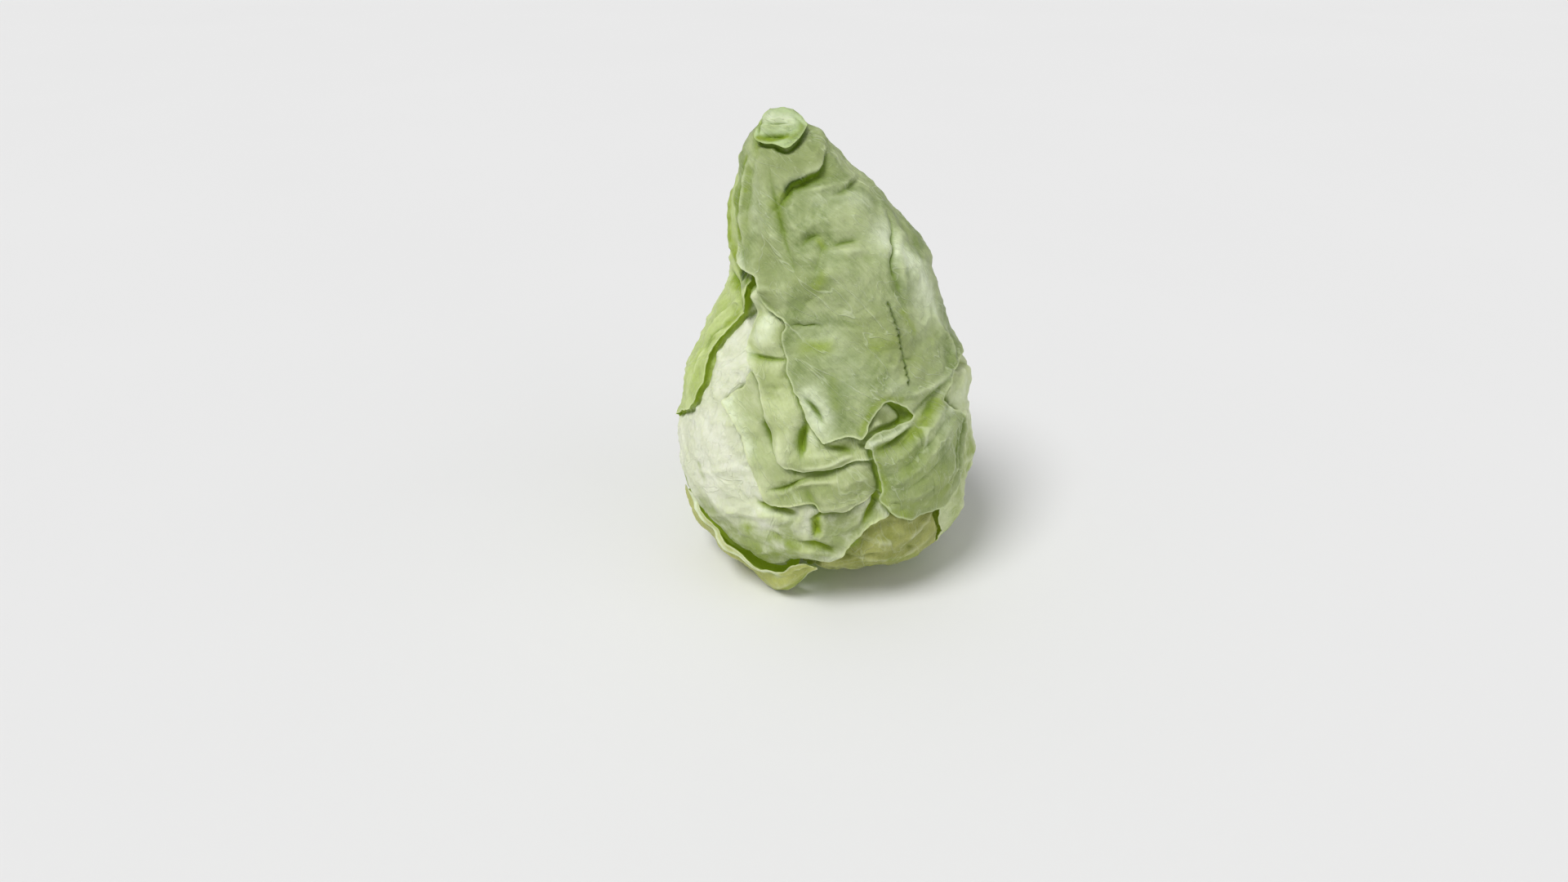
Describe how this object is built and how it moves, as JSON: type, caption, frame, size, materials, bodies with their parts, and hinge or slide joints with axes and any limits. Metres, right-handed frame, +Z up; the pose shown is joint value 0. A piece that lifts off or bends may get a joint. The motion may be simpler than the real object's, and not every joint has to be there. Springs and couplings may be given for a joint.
{
  "type": "pointed cabbage",
  "caption": "Pointed head of cabbage with nested, ribbed leaves, standing upright on its cut stem.",
  "frame": {"origin": "centre of the head's bounding box, on the surface that it stands on", "axes": "+Z up from the cut stem to the tip, -Y towards the side that the picture shows, +X to that side's right"},
  "size_m": [0.1619, 0.1575, 0.2398],
  "materials": {
    "front_leaf": "satin, waxy sage green",
    "back_leaf": "satin, waxy sage green",
    "left_leaf": "satin, waxy yellow green",
    "right_leaf": "satin, waxy pale green",
    "inner_leaf": "satin, waxy pale green",
    "pale_leaf": "satin, waxy cream white",
    "base_left_leaf": "satin, waxy pale green",
    "low_leaf": "satin, waxy mottled green",
    "heart": "satin, pale yellow green",
    "stem": "matt, fibrous cut face"
  },
  "bodies": {
    "root": {"stem": "stem", "heart": "heart", "low_leaf": "low_leaf", "pale_leaf": "pale_leaf", "inner_leaf": "inner_leaf", "right_leaf": "right_leaf", "left_leaf": "left_leaf", "base_left_leaf": "base_left_leaf", "front_leaf": "front_leaf", "back_leaf": "back_leaf"}
  },
  "joints": []
}
